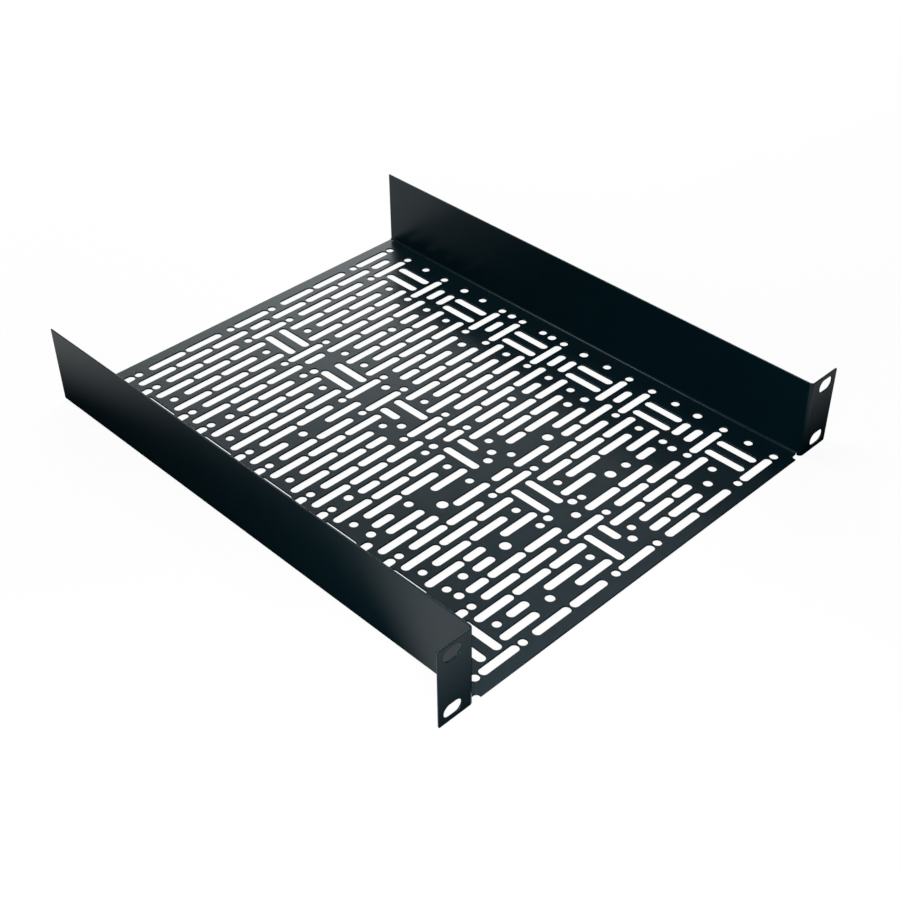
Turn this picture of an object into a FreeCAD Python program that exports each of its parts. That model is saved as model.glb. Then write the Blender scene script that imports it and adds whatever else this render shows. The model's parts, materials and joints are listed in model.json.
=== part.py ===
import FreeCAD, Part

import math
import os

from FreeCAD import Vector

# Half-width vented rack shelf, one rack unit high, punched and folded from one steel sheet.
# Lengths are millimetres. While it is drawn, x = 0 is the shelf's middle line, +x is to the
# right seen from the front, y = 0 is the front face of the ears and +y runs to the rear,
# and z = 0 is the underside of the floor.

# Overall sizes
PANEL_WIDTH = 266.7       # across both ears, half of a rack's width
TRAY_DEPTH = 295.3        # ear front face to the rear edge
HEIGHT = 43.4             # underside of the floor to the top of the walls and ears
EAR_REACH = 19.05         # outside of a wall to the outer edge of its ear

# Sheet and folds
SHEET = 0.9               # sheet thickness
FOLD_INSIDE = 1.3         # inside radius of every fold
EAR_CORNER = 0.7          # rounded outer corners of the ears

# Corner reliefs, which let the foot fold and the ear fold meet without tearing
RELIEF_WIDTH = 3.9        # from the floor's front corner to the wall's inner face
RELIEF_PAST_FOLD = 0.4    # how far the relief runs behind the ear fold
RELIEF_ROUND = 1.8        # round at the relief's inner corner

# Rack screw slots in the ears
RACK_SLOT_INSET = 7.95    # slot centre to the outer edge of the ear
RACK_SPACING_Z = 31.75    # lower to upper slot, the outer pair of one rack unit
RACK_SLOT_LENGTH = 10.2
RACK_SLOT_WIDTH = 7.0

# Vents punched in the floor. Three blocks of crosswise slots and lengthwise pairs run from
# front to rear, one in the middle and one along each wall, with fields of long slots between.
SLOT_WIDTH = 4.6
LONG_SLOT = 23.0
SHORT_SLOT = 12.75
VENT_HOLE = 4.35          # small round vents at both ends of a block's slots
SLOT_WEB = 1.0            # least sheet between two slots end to end
HOLE_WEB = 0.775          # sheet between a block's slot and its round vents
PAIR_WEB = 1.6            # sheet between a lengthwise pair and the slots before and behind it
PAIR_SPACING = 9.6        # between the two lengthwise slots of a pair
ROW_PITCH = 7.7           # from one row to the next
BLOCK_INSET = 24.85       # middle of a side block to the outside of the wall
SIDE_MARGIN = 5.0         # least plain sheet beside a foot fold
END_MARGIN = 6.5          # least plain sheet at the front and rear edges

# The rows repeat in sixes, counted from the front
ROWS_PER_REPEAT = 6
PAIR_ROWS = (1, 2, 3)     # rows that a lengthwise pair takes up
PAIR_MIDDLE = 2

# Screw holes for the boxes that the shelf carries
SCREW_HOLE = 4.75
LARGE_SCREW_HOLE = 5.8
SCREW_WEB = 1.0           # a vent that would leave less sheet than this gives way to the hole
CUT_BACK_WEB = 1.5        # sheet that a vent cut back beside a hole has to leave

# Rows of screw holes: distance behind the front edge, hole size, places across the shelf
SCREW_ROWS = (
    (19.1, SCREW_HOLE, (-47.0, 8.9, 64.7)),
    (48.5, SCREW_HOLE, (-74.0, 2.9, 73.9)),
    (56.2, SCREW_HOLE, (-103.8, -63.9, -8.0, 8.9, 47.9, 103.8)),
    (56.9, LARGE_SCREW_HOLE, (-36.0, 37.2)),
    (98.0, LARGE_SCREW_HOLE, (-36.0, 37.2)),
    (106.1, SCREW_HOLE, (-74.0, 2.9, 73.9)),
    (109.5, SCREW_HOLE, (-47.0, 8.9, 64.7)),
    (133.1, SCREW_HOLE, (-63.9, -8.0, 47.9, 103.8)),
    (156.3, SCREW_HOLE, (-8.0, 103.8)),
    (186.4, SCREW_HOLE, (-47.0, 8.9, 64.7, 103.8)),
    (223.7, SCREW_HOLE, (-63.9, -8.0, 47.9, 103.8)),
)

# Slots that stay unpunched: row from the front, and place across the shelf
PLAIN_SPOTS = ((5, "right field 3"), (7, "right field 2"), (28, "middle block"))

# Sizes that follow from the ones above
FOLD_OUTSIDE = FOLD_INSIDE + SHEET
HALF_PANEL = PANEL_WIDTH / 2
HALF_TRAY = HALF_PANEL - EAR_REACH
WALL_INNER = HALF_TRAY - SHEET
HALF_FLAT = HALF_TRAY - FOLD_OUTSIDE
RELIEF_DEPTH = FOLD_OUTSIDE + RELIEF_PAST_FOLD
SLOT_PITCH = LONG_SLOT + SLOT_WEB
PAIR_SLOT = (len(PAIR_ROWS) + 1) * ROW_PITCH - SLOT_WIDTH - 2 * PAIR_WEB
BLOCK_X = HALF_TRAY - BLOCK_INSET
BLOCKS = {"left block": -BLOCK_X, "middle block": 0.0, "right block": BLOCK_X}
VENT_OFFSET = LONG_SLOT / 2 + HOLE_WEB + VENT_HOLE / 2
TOUCH = 1e-6              # lengths under this count as nothing


def on_floor(x, y):
    """Point of a drawing seen from above."""
    return Vector(x, y, 0)


def on_ear(x, z):
    """Point of a drawing seen from the front, on the ears' front face."""
    return Vector(x, 0, z)


def on_section(x, z):
    """Point of the wall's section, drawn where the corner relief ends."""
    return Vector(x, RELIEF_DEPTH, z)


def line(start, end, place):
    return Part.makeLine(place(*start), place(*end))


def around(centre, distance, angle_deg):
    """The drawing's point at a distance and an angle from a centre."""
    angle = math.radians(angle_deg)
    return centre[0] + distance * math.cos(angle), centre[1] + distance * math.sin(angle)


def arc(centre, radius, start_deg, end_deg, place):
    angles = (start_deg, (start_deg + end_deg) / 2, end_deg)
    points = [place(*around(centre, radius, angle)) for angle in angles]
    return Part.Arc(*points).toShape()


def slot_outline(x, y, length, width, lengthwise, place):
    """Closed outline of a round-ended slot; one as long as it is wide is a round hole."""
    radius = width / 2
    reach = length / 2 - radius
    turn = 90 if lengthwise else 0
    far = around((x, y), reach, turn)
    near = around((x, y), -reach, turn)
    edges = [arc(far, radius, turn - 90, turn + 90, place)]
    if reach > TOUCH:
        edges.append(line(around(far, radius, turn + 90), around(near, radius, turn + 90), place))
    edges.append(arc(near, radius, turn + 90, turn + 270, place))
    if reach > TOUCH:
        edges.append(line(around(near, radius, turn - 90), around(far, radius, turn - 90), place))
    return Part.Wire(edges)


class Punch:
    """One opening in the floor: its middle, its size, which way it runs and its place's name."""

    def __init__(self, x, y, length, width, lengthwise=False, place=""):
        self.x = x
        self.y = y
        self.length = length
        self.width = width
        self.lengthwise = lengthwise
        self.place = place

    def web_to(self, hole):
        """Sheet left between this opening and a round hole."""
        reach = (self.length - self.width) / 2
        along, across = hole.x - self.x, hole.y - self.y
        if self.lengthwise:
            along, across = across, along
        past_end = max(abs(along) - reach, 0)
        return math.hypot(past_end, across) - self.width / 2 - hole.width / 2

    def clears(self, holes, web):
        return all(self.web_to(hole) >= web for hole in holes)

    def cut_back(self, shift):
        """The same opening as a short slot, with its middle moved along its run."""
        dx, dy = (0, shift) if self.lengthwise else (shift, 0)
        return Punch(self.x + dx, self.y + dy, SHORT_SLOT, self.width, self.lengthwise, self.place)

    def fits_floor(self):
        """True where the opening leaves the plain margins of the floor whole."""
        half_x, half_y = self.length / 2, self.width / 2
        if self.lengthwise:
            half_x, half_y = half_y, half_x
        beside = abs(self.x) + half_x <= HALF_FLAT - SIDE_MARGIN
        return beside and END_MARGIN <= self.y - half_y and self.y + half_y <= TRAY_DEPTH - END_MARGIN

    def outline(self):
        return slot_outline(self.x, self.y, self.length, self.width, self.lengthwise, on_floor)


def row_count():
    """Whole repeats of rows that fit the floor, and one closing row."""
    room = TRAY_DEPTH - 2 * END_MARGIN - SLOT_WIDTH
    repeats = math.floor(room / (ROW_PITCH * ROWS_PER_REPEAT))
    return repeats * ROWS_PER_REPEAT + 1


def row_middle(row):
    """Distance of a row behind the front edge, with the rows centred on the floor."""
    first = (TRAY_DEPTH - (row_count() - 1) * ROW_PITCH) / 2
    return first + row * ROW_PITCH


def field_slots(y, block_half):
    """Long slots end to end in the two fields between the middle block and the side blocks."""
    room = BLOCK_X - 2 * (block_half + SLOT_WEB)
    count = max(math.floor((room + SLOT_WEB) / SLOT_PITCH), 0)
    slots = []
    for i in range(count):
        x = BLOCK_X / 2 + (i - (count - 1) / 2) * SLOT_PITCH
        for name, side in (("left", -1), ("right", 1)):
            slots.append(Punch(side * x, y, LONG_SLOT, SLOT_WIDTH, place=f"{name} field {i + 1}"))
    return slots


def even_row(y, step):
    """Row with round vents: the blocks have long slots, or the middle of a lengthwise pair."""
    openings = field_slots(y, VENT_OFFSET + VENT_HOLE / 2)
    for place, x in BLOCKS.items():
        for side in (-1, 1):
            openings.append(Punch(x + side * VENT_OFFSET, y, VENT_HOLE, VENT_HOLE))
            if step == PAIR_MIDDLE:
                pair_x = x + side * PAIR_SPACING / 2
                openings.append(Punch(pair_x, y, PAIR_SLOT, SLOT_WIDTH, lengthwise=True))
        if step not in PAIR_ROWS:
            openings.append(Punch(x, y, LONG_SLOT, SLOT_WIDTH, place=place))
    return openings


def odd_row(y, step):
    """Row without round vents: the blocks have short slots, or an end of a lengthwise pair."""
    openings = field_slots(y, max(SHORT_SLOT, PAIR_SPACING + SLOT_WIDTH) / 2)
    if step not in PAIR_ROWS:
        for place, x in BLOCKS.items():
            openings.append(Punch(x, y, SHORT_SLOT, SLOT_WIDTH, place=place))
    return openings


def beside_screw_holes(opening, holes):
    """The opening as it is, or as a short slot that clears the holes, or nothing."""
    if opening.clears(holes, SCREW_WEB):
        return opening
    end = (opening.length - SHORT_SLOT) / 2
    if end <= 0:
        return None
    # a block's slot shrinks about its middle if it can, the others draw back to one end
    shifts = (0, end, -end) if opening.place in BLOCKS else (end, -end)
    for shift in shifts:
        short = opening.cut_back(shift)
        if short.clears(holes, CUT_BACK_WEB):
            return short
    return None


def floor_punches():
    """Every opening in the floor: the screw holes, and the vents that give way to them."""
    holes = []
    for y, size, places in SCREW_ROWS:
        for x in places:
            holes.append(Punch(x, y, size, size))
    holes = [hole for hole in holes if hole.fits_floor()]
    vents = []
    for row in range(row_count()):
        make_row = even_row if row % 2 == 0 else odd_row
        for opening in make_row(row_middle(row), row % ROWS_PER_REPEAT):
            if (row, opening.place) in PLAIN_SPOTS:
                continue
            kept = beside_screw_holes(opening, holes)
            if kept is not None and kept.fits_floor():
                vents.append(kept)
    return holes + vents


def floor_outline():
    """Flat floor between the foot folds, with a rounded relief at each front corner."""
    corner = WALL_INNER - RELIEF_WIDTH
    turn = min(RELIEF_ROUND, HALF_FLAT - corner, RELIEF_DEPTH)
    start = RELIEF_DEPTH - turn
    return Part.Wire([
        line((-corner, 0), (corner, 0), on_floor),
        line((corner, 0), (corner, start), on_floor),
        arc((corner + turn, start), turn, 180, 90, on_floor),
        line((corner + turn, RELIEF_DEPTH), (HALF_FLAT, RELIEF_DEPTH), on_floor),
        line((HALF_FLAT, RELIEF_DEPTH), (HALF_FLAT, TRAY_DEPTH), on_floor),
        line((HALF_FLAT, TRAY_DEPTH), (-HALF_FLAT, TRAY_DEPTH), on_floor),
        line((-HALF_FLAT, TRAY_DEPTH), (-HALF_FLAT, RELIEF_DEPTH), on_floor),
        line((-HALF_FLAT, RELIEF_DEPTH), (-corner - turn, RELIEF_DEPTH), on_floor),
        arc((-corner - turn, start), turn, 90, 0, on_floor),
        line((-corner, start), (-corner, 0), on_floor),
    ])


def punched_floor(punches):
    wires = [floor_outline()]
    for punch in punches:
        wires.append(punch.outline())
    blank = Part.makeFace(wires, "Part::FaceMakerBullseye")
    return blank.extrude(Vector(0, 0, SHEET))


def right_wall():
    """Foot fold and wall, drawn as a section and run from the relief to the rear edge."""
    fold = (HALF_FLAT, FOLD_OUTSIDE)
    section = Part.Wire([
        line((HALF_FLAT, 0), (HALF_FLAT, SHEET), on_section),
        arc(fold, FOLD_INSIDE, -90, 0, on_section),
        line((WALL_INNER, FOLD_OUTSIDE), (WALL_INNER, HEIGHT), on_section),
        line((WALL_INNER, HEIGHT), (HALF_TRAY, HEIGHT), on_section),
        line((HALF_TRAY, HEIGHT), (HALF_TRAY, FOLD_OUTSIDE), on_section),
        arc(fold, FOLD_OUTSIDE, 0, -90, on_section),
    ])
    return Part.Face(section).extrude(Vector(0, TRAY_DEPTH - RELIEF_DEPTH, 0))


def right_ear():
    """Front strip of the wall, the ear fold and the ear, drawn from above and run upwards."""
    fold = (HALF_TRAY + FOLD_INSIDE, FOLD_OUTSIDE)
    outline = Part.Wire([
        line((WALL_INNER, RELIEF_DEPTH), (WALL_INNER, FOLD_OUTSIDE), on_floor),
        arc(fold, FOLD_OUTSIDE, 180, 270, on_floor),
        line((fold[0], 0), (HALF_PANEL, 0), on_floor),
        line((HALF_PANEL, 0), (HALF_PANEL, SHEET), on_floor),
        line((HALF_PANEL, SHEET), (fold[0], SHEET), on_floor),
        arc(fold, FOLD_INSIDE, 270, 180, on_floor),
        line((HALF_TRAY, FOLD_OUTSIDE), (HALF_TRAY, RELIEF_DEPTH), on_floor),
        line((HALF_TRAY, RELIEF_DEPTH), (WALL_INNER, RELIEF_DEPTH), on_floor),
    ])
    ear = Part.Face(outline).extrude(Vector(0, 0, HEIGHT))
    corners = []
    for edge in ear.Edges:
        box = edge.BoundBox
        at_outer_edge = box.XMin > HALF_PANEL - TOUCH
        if at_outer_edge and box.ZLength < TOUCH:
            corners.append(edge)
    ear = ear.makeFillet(EAR_CORNER, corners)
    for side in (-1, 1):
        x = HALF_PANEL - RACK_SLOT_INSET
        z = HEIGHT / 2 + side * RACK_SPACING_Z / 2
        slot = Part.Face(slot_outline(x, z, RACK_SLOT_LENGTH, RACK_SLOT_WIDTH, False, on_ear))
        ear = ear.cut(slot.extrude(Vector(0, SHEET, 0)))
    return ear


punches = floor_punches()
right_side = right_wall().fuse(right_ear())
left_side = right_side.mirror(Vector(0, 0, 0), Vector(1, 0, 0))
shelf = punched_floor(punches).fuse([right_side, left_side]).removeSplitter()

# the finished shelf has its origin under the middle of its floor
shelf.translate(Vector(0, -TRAY_DEPTH / 2, 0))

os.makedirs("parts", exist_ok=True)
shelf.exportStep("parts/rack_shelf.step")

box = shelf.BoundBox
print("solids", len(shelf.Solids), "valid", shelf.isValid(), "volume mm3", round(shelf.Volume, 1))
print("size mm", round(box.XLength, 2), round(box.YLength, 2), round(box.ZLength, 2))
print("floor openings", len(punches), "in", row_count(), "rows")
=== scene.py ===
# %% [markdown]
# # A folded steel rack shelf
#
# The real shelf is one sheet of steel. A punch cuts some four hundred openings in it while it is
# flat, a press folds up two walls and two ears, and an oven bakes a black powder coat on top.
# This lesson makes it the same way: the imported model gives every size, a flat blank is cut from
# those sizes, its cut edges are rounded, and the blank is then folded by a formula.

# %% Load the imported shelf
import json
import math

import bmesh
import bpy
import numpy as np
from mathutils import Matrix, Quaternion, Vector
from mathutils.geometry import delaunay_2d_cdt


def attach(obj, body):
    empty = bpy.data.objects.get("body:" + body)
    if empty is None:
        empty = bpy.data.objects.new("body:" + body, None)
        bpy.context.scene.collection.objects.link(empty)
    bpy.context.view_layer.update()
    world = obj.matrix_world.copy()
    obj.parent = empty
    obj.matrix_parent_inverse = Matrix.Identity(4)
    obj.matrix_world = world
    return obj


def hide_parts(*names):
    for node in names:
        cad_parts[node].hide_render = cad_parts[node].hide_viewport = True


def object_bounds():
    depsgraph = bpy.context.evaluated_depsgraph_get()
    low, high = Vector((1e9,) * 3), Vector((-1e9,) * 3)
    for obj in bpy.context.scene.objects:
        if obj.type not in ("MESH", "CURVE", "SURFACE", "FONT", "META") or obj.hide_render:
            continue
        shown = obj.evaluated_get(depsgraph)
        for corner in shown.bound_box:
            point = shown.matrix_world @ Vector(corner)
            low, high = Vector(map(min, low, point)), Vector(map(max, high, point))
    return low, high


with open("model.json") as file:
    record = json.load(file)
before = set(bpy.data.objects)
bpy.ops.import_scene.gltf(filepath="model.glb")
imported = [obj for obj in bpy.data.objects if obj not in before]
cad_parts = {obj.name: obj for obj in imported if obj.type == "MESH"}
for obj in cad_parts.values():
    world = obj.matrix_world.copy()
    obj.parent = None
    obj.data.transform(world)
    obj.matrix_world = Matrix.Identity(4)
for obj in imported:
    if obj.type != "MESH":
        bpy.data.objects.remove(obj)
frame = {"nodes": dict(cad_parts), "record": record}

MM = 0.001
cad_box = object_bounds()
cad_low, cad_high = (np.array(corner) for corner in cad_box)
print("packed shelf, mm:", np.round((cad_high - cad_low) / MM, 2))

# %% [markdown]
# ## Sizes of the sheet
#
# Nothing is measured twice. The thickness, the places of the folds and the little relief notches
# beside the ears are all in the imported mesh, so they are read from it. The mesh comes with its
# corners split for shading, and a weld joins them again in a copy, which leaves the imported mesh
# as it was.

# %% Read the sheet and its folds
TINY = 0.001 * MM
packed = bmesh.new()
packed.from_mesh(frame["nodes"]["rack_shelf"].data)
bmesh.ops.remove_doubles(packed, verts=packed.verts, dist=TINY)

FLOOR_TOP = next(mount for mount in frame["record"]["mounts"] if mount["name"] == "floor_top")
SHEET = FLOOR_TOP["pos_m"][2]
FRONT, REAR = cad_low[1], cad_high[1]
HALF_PANEL, HEIGHT = cad_high[0], cad_high[2]

places = np.array([vert.co for vert in packed.verts])
rear_edge = places[abs(places[:, 1] - REAR) < TINY]
underside = places[abs(places[:, 2]) < TINY]
front_edge = underside[abs(underside[:, 1] - FRONT) < TINY]

WALL = rear_edge[:, 0].max()
HALF_FLAT = rear_edge[abs(rear_edge[:, 2]) < TINY, 0].max()
FOLD_OUTSIDE = WALL - HALF_FLAT
FOLD_INSIDE = FOLD_OUTSIDE - SHEET
NOTCH = front_edge[front_edge[:, 0] < WALL, 0].max()
NOTCH_REAR = underside[abs(underside[:, 0] - HALF_FLAT) < TINY, 1].min()
EAR_CORNER = places[abs(places[:, 0] - HALF_PANEL) < TINY, 2].min()
print("sheet", round(SHEET / MM, 2), "fold inside", round(FOLD_INSIDE / MM, 2),
      "notch", round((NOTCH_REAR - FRONT) / MM, 2), "ear corner", round(EAR_CORNER / MM, 2))

# %% [markdown]
# ## Places of the openings
#
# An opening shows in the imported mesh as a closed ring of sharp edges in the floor's upper face, or
# in the front face of an ear. Edges that share a corner belong to one ring, and the box around a
# ring says all there is to know: every opening here is round or has round ends. A Python set gives
# its edges in no fixed order, so the boxes are sorted by place and every run makes the same mesh.

# %% Find the openings
SHARP = math.radians(60)
LONGEST_OPENING = 40 * MM


def rings_on(axis, level):
    """Boxes, as low and high corners, round the rings of sharp edges that lie on one plane."""
    waiting = set()
    for edge in packed.edges:
        on_plane = all(abs(vert.co[axis] - level) < TINY for vert in edge.verts)
        if on_plane and edge.calc_face_angle() > SHARP:
            waiting.add(edge)
    boxes = []
    while waiting:
        found = [waiting.pop()]
        for edge in found:
            for near in [other for vert in edge.verts for other in vert.link_edges]:
                if near in waiting:
                    waiting.remove(near)
                    found.append(near)
        ring = np.array([vert.co for edge in found for vert in edge.verts])
        if np.ptp(ring, axis=0).max() < LONGEST_OPENING:
            boxes.append((ring.min(axis=0), ring.max(axis=0)))
    return sorted(boxes, key=lambda box: box[0].tolist())


floor_openings = rings_on(axis=2, level=SHEET)
ear_openings = rings_on(axis=1, level=FRONT)
packed.free()
print("openings in the floor:", len(floor_openings), "and in the ears:", len(ear_openings))

# %% [markdown]
# ## The flat blank
#
# On the blank, u runs across the sheet and v from front to rear. A fold uses up the length of its
# middle line, so the wall starts that much further out than the flat floor ends. The outline is
# drawn for the right half and mirrored. It has a point on every line where a fold will turn, and
# a hair-thin slit frees the foot of the ear from the wall's own fold, as a laser would cut it.

# %% Draw the outline of the blank
FOLD_STEPS = 7
CORNER_STEPS = 6
NOTCH_ROUND_SHARE = 0.7
SLIT = 0.1 * MM
SLIT_PAST_FOLD = 0.4 * MM

fold_length = (FOLD_INSIDE + SHEET / 2) * math.pi / 2
wall_start = HALF_FLAT + fold_length
wall_top = wall_start + HEIGHT - FOLD_OUTSIDE
ear_foot = wall_start - FOLD_OUTSIDE
ear_fold_start = FRONT + FOLD_OUTSIDE
ear_start = ear_fold_start - fold_length
ear_end = ear_start - (HALF_PANEL - WALL - FOLD_INSIDE)
foot_lines = np.linspace(HALF_FLAT, wall_start, FOLD_STEPS + 1)
ear_lines = np.linspace(ear_fold_start, ear_start, FOLD_STEPS + 1)


def arc(middle, radius, start, end):
    """Points along an arc, with its start and end angles in degrees."""
    turns = np.radians(np.linspace(start, end, CORNER_STEPS + 1))
    return [(middle[0] + radius * math.cos(turn), middle[1] + radius * math.sin(turn))
            for turn in turns]


notch_round = NOTCH_ROUND_SHARE * (NOTCH_REAR - FRONT)
slit_end = wall_start + SLIT_PAST_FOLD
right_side = [(NOTCH, FRONT)]
right_side += arc((NOTCH + notch_round, NOTCH_REAR - notch_round), notch_round, 180, 90)
right_side += [(line, NOTCH_REAR) for line in foot_lines]
right_side += [(slit_end, NOTCH_REAR), (slit_end, NOTCH_REAR - SLIT)]
right_side += [(ear_foot, NOTCH_REAR - SLIT)]
right_side += [(ear_foot, line) for line in ear_lines]
right_side += arc((ear_foot + EAR_CORNER, ear_end + EAR_CORNER), EAR_CORNER, 180, 270)
right_side += arc((wall_top - EAR_CORNER, ear_end + EAR_CORNER), EAR_CORNER, 270, 360)
right_side += [(wall_top, line) for line in ear_lines[::-1]]
right_side += [(wall_top, REAR)]
right_side += [(line, REAR) for line in foot_lines[::-1]]
outline = np.array(right_side + [(-u, v) for u, v in reversed(right_side)])
blank_size = np.ptp(outline, axis=0)
print("blank, mm:", np.round(blank_size / MM, 1), "with", len(outline), "outline points")

# %% [markdown]
# A slot with round ends is a circle pulled apart along its length, so one formula draws slots and
# round holes alike. The points run clockwise: the sheet is then on the left of every edge, round
# the openings as well as round the outline, and one rule can find the way into the sheet.

# %% Draw the openings on the blank
OPENING_POINTS = 32


def opening_outline(middle, size):
    """Clockwise points round an opening with round ends."""
    radius = min(size) / 2
    stretch = np.array(size) / 2 - radius
    turns = -2 * math.pi * (np.arange(OPENING_POINTS) + 0.5) / OPENING_POINTS
    way = np.column_stack((np.cos(turns), np.sin(turns)))
    return middle + radius * way + stretch * np.sign(way)


loops = [outline]
for low, high in floor_openings:
    loops.append(opening_outline((low + high)[:2] / 2, (high - low)[:2]))
for low, high in ear_openings:
    x, _, z = (low + high) / 2
    u = math.copysign(wall_start + z - FOLD_OUTSIDE, x)
    v = ear_start - (abs(x) - WALL - FOLD_INSIDE)
    loops.append(opening_outline((u, v), ((high - low)[2], (high - low)[0])))
print("loops on the blank:", len(loops))

# %% [markdown]
# ## Round the cut edges
#
# A punched edge under powder coat is never sharp: the coat flows into a small radius that catches
# a thread of light. A Bevel modifier trips over four hundred openings that stand a millimetre
# apart, so the rim is built directly. Each loop is repeated a few times, a little further into the
# sheet and nearer to its face each time, and strips of quads join the copies.

# %% Build the rims
RIM = 0.25 * MM
RIM_STEPS = 2


def moved_in(loop, distance):
    """The loop moved into the sheet, which is on the left of its edges."""
    ahead = np.roll(loop, -1, axis=0) - loop
    ahead /= np.linalg.norm(ahead, axis=1, keepdims=True)
    leaving = np.column_stack((-ahead[:, 1], ahead[:, 0]))
    arriving = np.roll(leaving, 1, axis=0)
    agree = (leaving * arriving).sum(axis=1, keepdims=True)
    return loop + distance * (leaving + arriving) / (1 + agree)


rim_turns = np.linspace(0, math.pi / 2, RIM_STEPS + 1)
upper_rim = [(RIM * (1 - math.sin(turn)), SHEET - RIM * (1 - math.cos(turn)))
             for turn in rim_turns]
rim = upper_rim + [(depth, SHEET - level) for depth, level in reversed(upper_rim)]

layers = []
for depth, level in rim:
    moved = np.vstack([moved_in(loop, depth) for loop in loops])
    layers.append(np.column_stack((moved, np.full(len(moved), level))))
blank = np.vstack(layers)
print("copies of each loop:", len(rim), "and points on the blank:", len(blank))

# %% [markdown]
# The copies lie one after another in the list of points, each with the same points in the same
# order. A quad joins a point and its neighbour on one copy to the same two on the next copy, and
# the neighbour of a loop's last point is its first.

# %% Join the rims
loop_sizes = [len(loop) for loop in loops]
owner = np.repeat(np.arange(len(loops)), loop_sizes)
ring_size = len(owner)
first_of = np.concatenate(([0], np.cumsum(loop_sizes)))
each = np.arange(ring_size)
following = each + 1
following[first_of[1:] - 1] = first_of[:-1]

strips = []
for step in range(len(rim) - 1):
    upper, lower = step * ring_size, (step + 1) * ring_size
    strips.append(np.column_stack(
        (upper + each, lower + each, lower + following, upper + following)))
rim_faces = np.vstack(strips)
print("rim faces:", len(rim_faces))

# %% [markdown]
# ## Fill the two faces of the sheet
#
# Between the rims the sheet is flat, and a constrained Delaunay triangulation fills any flat
# region between given points with well-shaped triangles. The rims and the fold lines are its
# fixed edges. A triangle whose three corners belong to the same opening lies in that opening and
# is left out, and so is one that spans a bay of the outline, between the ears or in a notch.

# %% Fill the blank
def fold_line_ends(axis, level, side):
    """The two outline points that a fold line joins, on one side of the shelf."""
    on_line = abs(outline[:, axis] - level) < TINY
    return np.flatnonzero(on_line & (outline[:, 0] * side > 0)).tolist()


fixed_edges = np.column_stack((each, following)).tolist()
for side in (-1, 1):
    fixed_edges += [fold_line_ends(0, side * line, side) for line in foot_lines]
    fixed_edges += [fold_line_ends(1, line, side) for line in ear_lines]


def is_sheet(triangle):
    """Whether a triangle lies in the sheet, and not in an opening or a bay of the outline."""
    if len(set(owner[triangle])) > 1:
        return True
    if owner[triangle[0]] > 0:
        return False
    u, v = blank[triangle, :2].mean(axis=0)
    starts = blank[:len(outline), :2]
    ends = np.roll(starts, -1, axis=0)
    spans = (starts[:, 0] > u) != (ends[:, 0] > u)
    share = (u - starts[spans, 0]) / (ends - starts)[spans, 0]
    crossings = starts[spans, 1] + share * (ends - starts)[spans, 1]
    return np.count_nonzero(crossings > v) % 2 == 1


ALL_TRIANGLES = 0
MERGE_WITHIN = TINY / 100
upper_points = [Vector(point) for point in blank[:ring_size, :2]]
points, _, triangles, sources, _, _ = delaunay_2d_cdt(
    upper_points, fixed_edges, [], ALL_TRIANGLES, MERGE_WITHIN, True)
source_of = np.array([found[0] for found in sources])
candidates = source_of[np.array(triangles)]
upper_faces = np.array([triangle for triangle in candidates if is_sheet(triangle)])
lower_faces = upper_faces[:, ::-1] + (len(rim) - 1) * ring_size
print("triangles on each face:", len(upper_faces), "from", len(points), "of", ring_size, "points")

# %% [markdown]
# ## Fold it
#
# Folding keeps the middle line of the sheet at its length: a point's distance past the start of
# a fold becomes an angle, up to a right angle, and what is left over runs on straight. The walls
# turn up from the floor about their inner side. In front of the notches the strip stands upright
# already, and there the ears turn outwards.

# %% Fold the blank
def turned(distance):
    """Angle turned, and length left over, at a distance past the start of a fold."""
    angle = np.clip(distance / fold_length, 0, 1) * math.pi / 2
    return angle, np.maximum(distance - fold_length, 0)


def folded(points):
    """Blank points, as u, v and height above the underside, at their places on the shelf."""
    across, v, height = abs(points[:, 0]), points[:, 1], points[:, 2]
    angle, past = turned(across - HALF_FLAT)
    x = np.minimum(across, HALF_FLAT) + (FOLD_OUTSIDE - height) * np.sin(angle)
    z = FOLD_OUTSIDE - (FOLD_OUTSIDE - height) * np.cos(angle) + past
    y = v.copy()

    ear = (across > HALF_FLAT) & (v < NOTCH_REAR - SLIT / 2)
    angle, past = turned(ear_fold_start - v[ear])
    x[ear] = WALL + FOLD_INSIDE - (FOLD_INSIDE + height[ear]) * np.cos(angle) + past
    y[ear] = np.maximum(v[ear], ear_fold_start) - (FOLD_INSIDE + height[ear]) * np.sin(angle)
    z[ear] = FOLD_OUTSIDE + across[ear] - wall_start
    return np.column_stack((np.copysign(x, points[:, 0]), y, z))


shelf_points = folded(blank)
print("folded, mm:", np.round(np.ptp(shelf_points, axis=0) / MM, 2))

# %% [markdown]
# ## The shelf as a mesh
#
# Flat faces are shaded flat and everything round is shaded smooth, so the floor and the walls stay
# true planes up to their rims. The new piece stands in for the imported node: it has the same shape
# and box, with the small radii on its edges that the coat gives the real one.

# %% Make the shelf
HARD_CORNER = math.radians(50)

face_middles = blank[upper_faces].mean(axis=1)
across, along = abs(face_middles[:, 0]), face_middles[:, 1]
past_floor = across > HALF_FLAT
in_foot_fold = past_floor & (across < wall_start) & (along > NOTCH_REAR)
in_ear_fold = past_floor & (along < ear_fold_start) & (along > ear_start)
round_face = in_foot_fold | in_ear_fold

faces = rim_faces.tolist() + upper_faces.tolist() + lower_faces.tolist()
mesh = bpy.data.meshes.new("folded_sheet")
mesh.from_pydata(shelf_points.tolist(), [], faces)
mesh.set_sharp_from_angle(angle=HARD_CORNER)
smooth = np.concatenate((np.ones(len(rim_faces), bool), round_face, round_face))
mesh.polygons.foreach_set("use_smooth", smooth)
mesh.update()

shelf = bpy.data.objects.new("folded_sheet", mesh)
bpy.context.scene.collection.objects.link(shelf)
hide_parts("rack_shelf")
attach(shelf, "root")
mesh.calc_loop_triangles()
print("shelf triangles:", len(mesh.loop_triangles))

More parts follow.
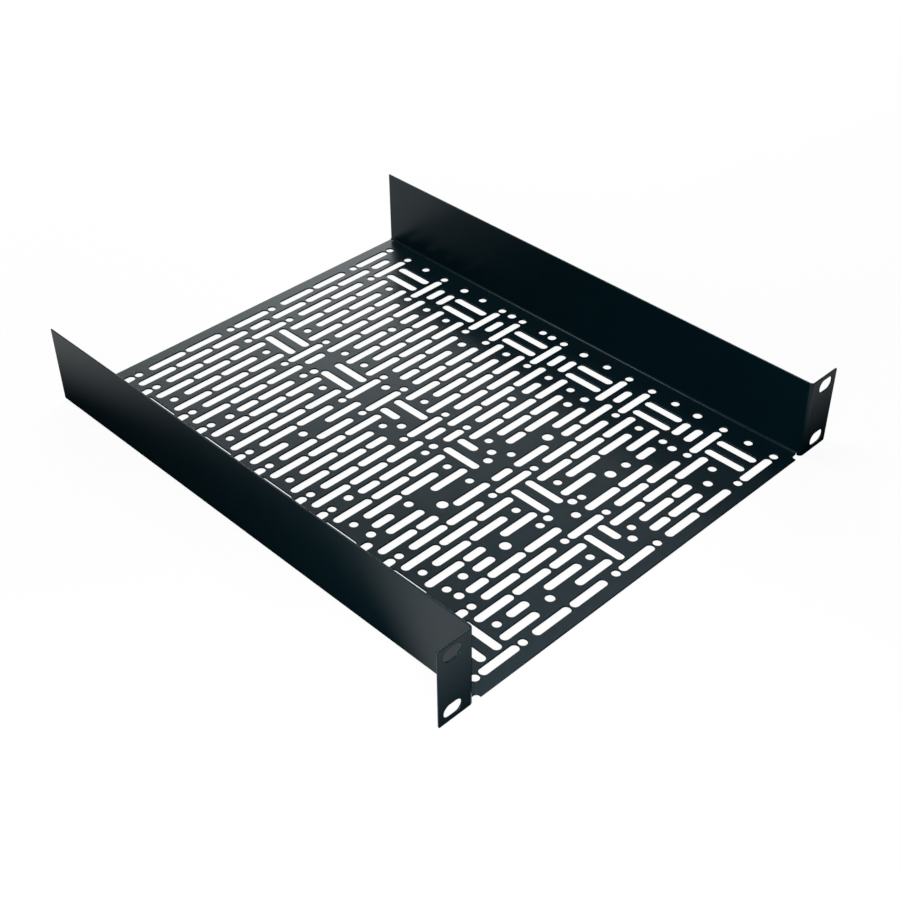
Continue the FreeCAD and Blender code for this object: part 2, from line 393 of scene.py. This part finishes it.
# %% [markdown]
# ## Writing shaders as sums
#
# A node tree is arithmetic, and arithmetic reads best as a formula. The class below wraps one
# output socket. Adding or multiplying two of them puts a Math node in the tree and wraps its
# output, and every other node comes from the one method `node`.

# %% Wrap a socket
class Wire:
    """An output socket of a node tree, which can be added, subtracted and multiplied."""

    def __init__(self, tree, socket=None):
        self.tree = tree
        self.socket = socket

    def node(self, kind, settings=None, sockets=None, output=0):
        """Add a node, with its settings first and then the values or wires of its sockets."""
        made = self.tree.nodes.new(kind)
        for name, setting in (settings or {}).items():
            setattr(made, name, setting)
        for name, value in (sockets or {}).items():
            if isinstance(value, Wire):
                self.tree.links.new(value.socket, made.inputs[name])
            else:
                made.inputs[name].default_value = value
        return Wire(self.tree, made.outputs[output] if made.outputs else None)

    def math(self, operation, first, second):
        return self.node("ShaderNodeMath", {"operation": operation}, {0: first, 1: second})

    def __add__(self, other):
        return self.math("ADD", self, other)

    def __radd__(self, other):
        return self.math("ADD", other, self)

    def __sub__(self, other):
        return self.math("SUBTRACT", self, other)

    def __rsub__(self, other):
        return self.math("SUBTRACT", other, self)

    def __mul__(self, other):
        return self.math("MULTIPLY", self, other)

    def __rmul__(self, other):
        return self.math("MULTIPLY", other, self)


def new_tree(owner_of_tree):
    """An empty node tree on a material or a world, as a wire to build from."""
    owner_of_tree.use_nodes = True
    owner_of_tree.node_tree.nodes.clear()
    return Wire(owner_of_tree.node_tree)


print("shader sums ready")

# %% [markdown]
# ## Black powder coat
#
# Powder coat melts into a skin like that of an orange: soft waves about a millimetre long, with a
# finer grain on top. Its black is a little blue, and satin: the matting agent in it leaves a
# weaker mirror than plain plastic has, so the specular level is about half of the usual one.
# Noise at three sizes gives the waves, the grain and a slow drift in gloss, all in the shelf's
# own metres.

# %% Make the powder coat
WAVE = 1.3 * MM
GRAIN = 0.4 * MM
DRIFT = 14 * MM
COAT_DEPTH = 0.02 * MM
WAVE_SHARE, GRAIN_SHARE = 0.65, 0.35
LEAST_ROUGHNESS, DRIFT_ROUGHNESS, GRAIN_ROUGHNESS = 0.25, 0.08, 0.06
DEEP_BLACK = (0.0004, 0.0070, 0.0103, 1)
PALE_BLACK = (0.0009, 0.0114, 0.0166, 1)
SHEEN_LEVEL = 0.27
SHEEN_TINT = (0.77, 0.91, 1.0, 1)
MIX_FACTOR, MIX_A, MIX_B, MIX_COLOUR = 0, 6, 7, 2
OWN_PLACE = 3

coat = bpy.data.materials.new("black_powder_coat")
tree = new_tree(coat)
here = tree.node("ShaderNodeTexCoord", output=OWN_PLACE)


def noise(size, detail):
    """Soft noise from 0 to 1 whose bumps are about one size across."""
    return tree.node("ShaderNodeTexNoise", {},
                     {"Vector": here, "Scale": 1 / size, "Detail": detail})


waves = noise(WAVE, detail=1.0)
grain = noise(GRAIN, detail=2.0)
drift = noise(DRIFT, detail=3.0)
skin_height = WAVE_SHARE * waves + GRAIN_SHARE * grain
bump = tree.node("ShaderNodeBump", {},
                 {"Strength": 1.0, "Distance": COAT_DEPTH, "Height": skin_height})
mottle = 0.5 * drift + 0.5 * grain
colour = tree.node("ShaderNodeMix", {"data_type": "RGBA"},
                   {MIX_FACTOR: mottle, MIX_A: DEEP_BLACK, MIX_B: PALE_BLACK}, MIX_COLOUR)
roughness = LEAST_ROUGHNESS + DRIFT_ROUGHNESS * drift + GRAIN_ROUGHNESS * grain
skin = tree.node("ShaderNodeBsdfPrincipled", {}, {
    "Base Color": colour, "Roughness": roughness, "Normal": bump,
    "Specular IOR Level": SHEEN_LEVEL, "Specular Tint": SHEEN_TINT})
tree.node("ShaderNodeOutputMaterial", {}, {"Surface": skin})
mesh.materials.append(coat)
print("powder coat nodes:", len(coat.node_tree.nodes))

# %% [markdown]
# ## Shade on the paper
#
# The shelf stands on white paper, and its glossy outside mirrors the paper close by. In the
# photograph the long wall is pale at both ends and almost black between them, because the paper
# beside it lies in the shelf's own shade. A lamp could cast that shade, but then it would show
# beside the shelf as well, where the photograph has plain white. So the shade is painted: the
# white that reflections get is eased in by place, further out to the left, past a slanting edge
# at the front corner, ahead of the ears, and behind.

# %% Ease the white in around the shelf
CORNER_SLANT = 2.1
EAR_SLANT = 0.035
REAR_SLANT = 3.4
REAR_SLANT_END = 110 * MM

paper = bpy.data.materials.new("white_paper")
tree = new_tree(paper)
spot = tree.node("ShaderNodeNewGeometry")
x, y = (tree.node("ShaderNodeSeparateXYZ", {}, {"Vector": spot}, axis) for axis in (0, 1))
left = -WALL - x


def eased(distance, start, end):
    """A share that eases from 0 at the start to 1 at the end, both in millimetres."""
    return tree.node("ShaderNodeMapRange", {"interpolation_type": "SMOOTHSTEP"},
                     {"Value": distance, "From Min": start * MM, "From Max": end * MM})


# Painted shade: close to the shelf the paper gives reflections no white, a painted shadow of the
# shelf; each share below eases the white back in further out.
beside = eased(left, start=32, end=75)
behind_ears = tree.math("GREATER_THAN", y, FRONT)
corner = behind_ears * eased(CORNER_SLANT * left - (y - FRONT), start=-49, end=-3)
ahead = eased((FRONT - y) - EAR_SLANT * (x + WALL), start=-6, end=56)
aside = tree.math("MINIMUM", REAR_SLANT * tree.math("ABSOLUTE", left, 0.0), REAR_SLANT_END)
behind = eased((y - REAR) + aside, start=5, end=190)
white_past_painted_shade = tree.math("MAXIMUM", tree.math("MAXIMUM", beside, corner),
                           tree.math("MAXIMUM", ahead, behind))
print("nodes for the shade:", len(paper.node_tree.nodes))

# %% [markdown]
# ## Floor
#
# To the camera the paper is nearly white everywhere, also where it shows through the openings.
# So for camera rays its material is mostly a steady white, and the rest is matt white that takes
# the shadow. Reflections get the white that was eased in above, with its painted shade. All other
# light finds the paper painted dark, which keeps it from filling the shade again.

# %% Lay the paper floor
FLOOR_HALF = 6.0
FLOOR_GAP = 0.3 * MM
SHADED = (0.02, 0.02, 0.02, 1)
WHITE = (1, 1, 1, 1)
SIGHT_SHARE = 0.93
IS_CAMERA, IS_GLOSSY, IS_TRANSMISSION = 0, 3, 6


def white_share(tree, to_sight, to_gloss):
    """How much steady white a ray gets: by sight, also through glass, or in a reflection."""
    camera, glossy, through = (tree.node("ShaderNodeLightPath", output=number)
                               for number in (IS_CAMERA, IS_GLOSSY, IS_TRANSMISSION))
    return to_sight * (camera + through) + to_gloss * glossy


def mixed(tree, share, first, second):
    """Two shaders as one, with this share of the second."""
    return tree.node("ShaderNodeMixShader", {}, {0: share, 1: first, 2: second})


sight = tree.node("ShaderNodeLightPath", output=IS_CAMERA)
# Painted shade: the paper is white to the camera and dark to all other rays.
dark = tree.node("ShaderNodeBsdfDiffuse", {}, {"Color": SHADED})
pale = tree.node("ShaderNodeBsdfDiffuse", {}, {"Color": WHITE})
matt = mixed(tree, sight, dark, pale)
steady = tree.node("ShaderNodeEmission", {}, {"Color": WHITE, "Strength": 1.0})
# In reflections the paper's white stops short of the shelf: the painted shade eased in above.
share = white_share(tree, SIGHT_SHARE, white_past_painted_shade)
tree.node("ShaderNodeOutputMaterial", {}, {"Surface": mixed(tree, share, matt, steady)})

corners = [(side * FLOOR_HALF, end * FLOOR_HALF, -FLOOR_GAP)
           for side, end in ((-1, -1), (1, -1), (1, 1), (-1, 1))]
floor_mesh = bpy.data.meshes.new("paper_floor")
floor_mesh.from_pydata(corners, [], [(0, 1, 2, 3)])
floor_mesh.materials.append(paper)
floor = bpy.data.objects.new("paper_floor", floor_mesh)
bpy.context.scene.collection.objects.link(floor)
print("floor laid, m:", 2 * FLOOR_HALF)

# %% [markdown]
# ## Light
#
# A black satin thing is seen by what it mirrors. A wide soft strip stands low behind it and to
# the right, where the floor of the shelf reflects it towards the camera, and a higher light
# carries that sheen on to the front. A small one at the front left lifts the outer wall and the
# ears. The main light is long and hangs overhead, a little to the rear: no flat face mirrors it
# to the camera, but the inside of the right fold does, as a thin line.

# %% Set the lights
AIM = Vector((0, 0, 0))


def soft_light(name, azimuth, elevation, distance, size, power):
    """A soft light at a bearing to the right of the rear and an angle up, both in degrees."""
    lamp = bpy.data.lights.new(name, "AREA")
    lamp.shape = "RECTANGLE"
    lamp.size, lamp.size_y = size
    lamp.energy = power
    holder = bpy.data.objects.new(name, lamp)
    bearing, rise = math.radians(azimuth), math.radians(elevation)
    level = math.cos(rise)
    way = Vector((math.sin(bearing) * level, math.cos(bearing) * level, math.sin(rise)))
    holder.location = AIM + distance * way
    holder.rotation_euler = way.to_track_quat("Z", "Y").to_euler()
    bpy.context.scene.collection.objects.link(holder)


soft_light("strip_light", azimuth=46, elevation=19, distance=0.9, size=(0.95, 0.47), power=4.7)
soft_light("sheen_light", azimuth=66, elevation=62, distance=1.5, size=(0.4, 0.4), power=3.6)
soft_light("front_light", azimuth=-137, elevation=24, distance=0.45, size=(0.2, 0.2), power=1.3)
soft_light("top_light", azimuth=-14, elevation=62, distance=1.5, size=(0.4, 0.95), power=10)

# %% [markdown]
# ## Surround
#
# Past the paper the photograph is white too. A world as bright as that would light the shelf from
# all sides and turn its black to grey. So the world is white only to the camera and through
# glass. As a light and in reflections it stays dim, just enough to open up the darkest places.

# %% Set the surround
SURROUND = 0.04
BACKDROP_SHARE = 0.97
BACKDROP_GLOSS = 0.03

surround = bpy.data.worlds.new("studio")
bpy.context.scene.world = surround
tree = new_tree(surround)
dim = tree.node("ShaderNodeBackground", {}, {"Color": WHITE, "Strength": SURROUND})
white = tree.node("ShaderNodeBackground", {}, {"Color": WHITE, "Strength": 1.0})
share = white_share(tree, BACKDROP_SHARE, BACKDROP_GLOSS)
tree.node("ShaderNodeOutputWorld", {}, {"Surface": mixed(tree, share, dim, white)})
bpy.context.scene.view_settings.view_transform = "Standard"
print("surround strength:", SURROUND)

# %% [markdown]
# ## Camera
#
# The photograph looks down on the shelf from its front left. The camera's place, aim and lens were
# worked out from the straight edges and the openings in the photograph.

# %% Place the camera
CAMERA_PLACE = Vector((-0.4055, -0.4371, 0.4542))
CAMERA_AIM = Vector((-0.0179, -0.0530, 0.0))
CAMERA_ROLL = math.radians(0.12)
SENSOR_MM = 36
LENS_MM = 59.58
SHIFT = (-0.0273, 0.0459)
NEAREST = 10 * MM

lens = bpy.data.cameras.new("photo_camera")
lens.sensor_width = SENSOR_MM
lens.lens = LENS_MM
lens.shift_x, lens.shift_y = SHIFT
lens.clip_start = NEAREST
camera = bpy.data.objects.new("photo_camera", lens)
camera.location = CAMERA_PLACE
looking = (CAMERA_AIM - CAMERA_PLACE).to_track_quat("-Z", "Y")
camera.rotation_euler = (looking @ Quaternion((0, 0, 1), CAMERA_ROLL)).to_euler()
bpy.context.scene.collection.objects.link(camera)
bpy.context.scene.camera = camera
print("camera distance, m:", round((CAMERA_AIM - CAMERA_PLACE).length, 3))

# %% [markdown]
# ## Update the scene
#
# The finished shelf has the same box as the imported one, because the rims only take material
# away from edges. The last cell brings the scene up to date.

# %% Update the scene
bpy.context.view_layer.update()
